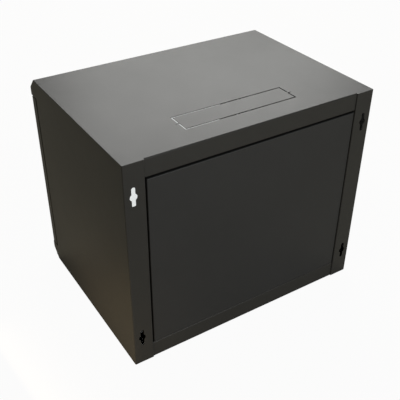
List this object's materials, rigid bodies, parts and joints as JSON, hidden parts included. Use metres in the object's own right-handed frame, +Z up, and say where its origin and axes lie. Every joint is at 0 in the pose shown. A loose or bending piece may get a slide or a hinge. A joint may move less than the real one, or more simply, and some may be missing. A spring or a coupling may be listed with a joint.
{
  "type": "wall mount network cabinet",
  "caption": "Wall mount cabinet for 19-inch network equipment, welded sheet steel with bevelled hoods, glazed lockable door, adjustable rack rails, cable knock-outs and a removable rear panel.",
  "frame": {"origin": "on the wall plane, midway between the four keyholes, which is also half way up the cabinet", "axes": "+X to the right seen from the front, +Y towards the wall (the door faces -Y), +Z up"},
  "size_m": [0.6, 0.4536, 0.5],
  "materials": {
    "body_paint": "graphite-black semi-gloss powder coat, fine orange-peel",
    "panel_paint": "graphite-black semi-gloss powder coat",
    "door_paint": "graphite-black semi-gloss powder coat",
    "carrier_paint": "graphite-black powder coat",
    "rail_zinc": "bright zinc-plated sheet",
    "fastener_zinc": "zinc-plated steel",
    "pin_steel": "zinc-plated turned steel",
    "spring_steel": "spring steel wire",
    "lock_chrome": "chrome-plated die casting",
    "door_glass": "clear toughened glass, lightly tinted",
    "foam_rubber": "black cellular rubber strip",
    "buffer_rubber": "black rubber",
    "nylon": "natural nylon"
  },
  "bodies": {
    "cabinet": {"side_panel_left": "body_paint", "side_panel_right": "body_paint", "top_cover": "body_paint", "bottom_cover": "body_paint", "top_knockout": "body_paint", "bottom_knockout": "body_paint", "rear_panel_screws": "fastener_zinc", "rear_panel_washers": "fastener_zinc", "rail_carrier_left_top": "carrier_paint", "rail_carrier_left_bottom": "carrier_paint", "rail_carrier_right_top": "carrier_paint", "rail_carrier_right_bottom": "carrier_paint", "hinge_thrust_washer": "nylon", "earth_stud": "fastener_zinc", "earth_washers": "fastener_zinc", "earth_nuts": "fastener_zinc", "door_buffers": "buffer_rubber"},
    "rear_panel": {"rear_panel": "panel_paint", "rear_panel_nuts": "fastener_zinc"},
    "rack_rail_left": {"rack_rail_left": "rail_zinc", "rail_bolts_left": "fastener_zinc", "rail_nut_plates_left": "fastener_zinc"},
    "rack_rail_right": {"rack_rail_right": "rail_zinc", "rail_bolts_right": "fastener_zinc", "rail_nut_plates_right": "fastener_zinc"},
    "door": {"door_frame": "door_paint", "door_glass": "door_glass", "glass_gasket": "foam_rubber", "glass_standoffs": "fastener_zinc", "glass_clips": "fastener_zinc", "glass_clip_screws": "fastener_zinc", "hinge_bracket": "door_paint", "hinge_pin_lower": "pin_steel", "lock_barrel": "lock_chrome", "lock_nut": "fastener_zinc", "door_earth_stud": "fastener_zinc", "door_earth_nut": "fastener_zinc", "door_earth_washer": "fastener_zinc"},
    "hinge_pin": {"hinge_pin_upper": "pin_steel", "hinge_pin_collar": "pin_steel", "hinge_spring": "spring_steel"},
    "lock": {"lock_plug": "lock_chrome", "lock_cam": "fastener_zinc", "lock_cam_screw": "fastener_zinc"}
  },
  "joints": [
    {"name": "door_hinge", "type": "hinge", "parent": "cabinet", "child": "door", "pos_m": [-0.291, -0.4385, 0], "axis": [0, 0, -1], "range_deg": [0, 170]},
    {"name": "lock_turn", "type": "hinge", "parent": "door", "child": "lock", "pos_m": [0.266, -0.4385, 0], "axis": [0, 1, 0], "range_deg": [0, 90]},
    {"name": "hinge_pin_pull", "type": "slide", "parent": "door", "child": "hinge_pin", "axis": [0, 0, -1], "range_m": [0, 0.008], "stiffness_N_per_m": 500, "springref_m": -0.02, "deforming": ["hinge_spring"]},
    {"name": "rack_rail_left_depth", "type": "slide", "parent": "cabinet", "child": "rack_rail_left", "axis": [0, 1, 0], "range_m": [0, 0.28]},
    {"name": "rack_rail_right_depth", "type": "slide", "parent": "cabinet", "child": "rack_rail_right", "axis": [0, 1, 0], "range_m": [0, 0.28]},
    {"name": "rear_panel_off", "type": "slide", "parent": "cabinet", "child": "rear_panel", "axis": [0, 1, 0], "range_m": [0, 0.15]}
  ]
}
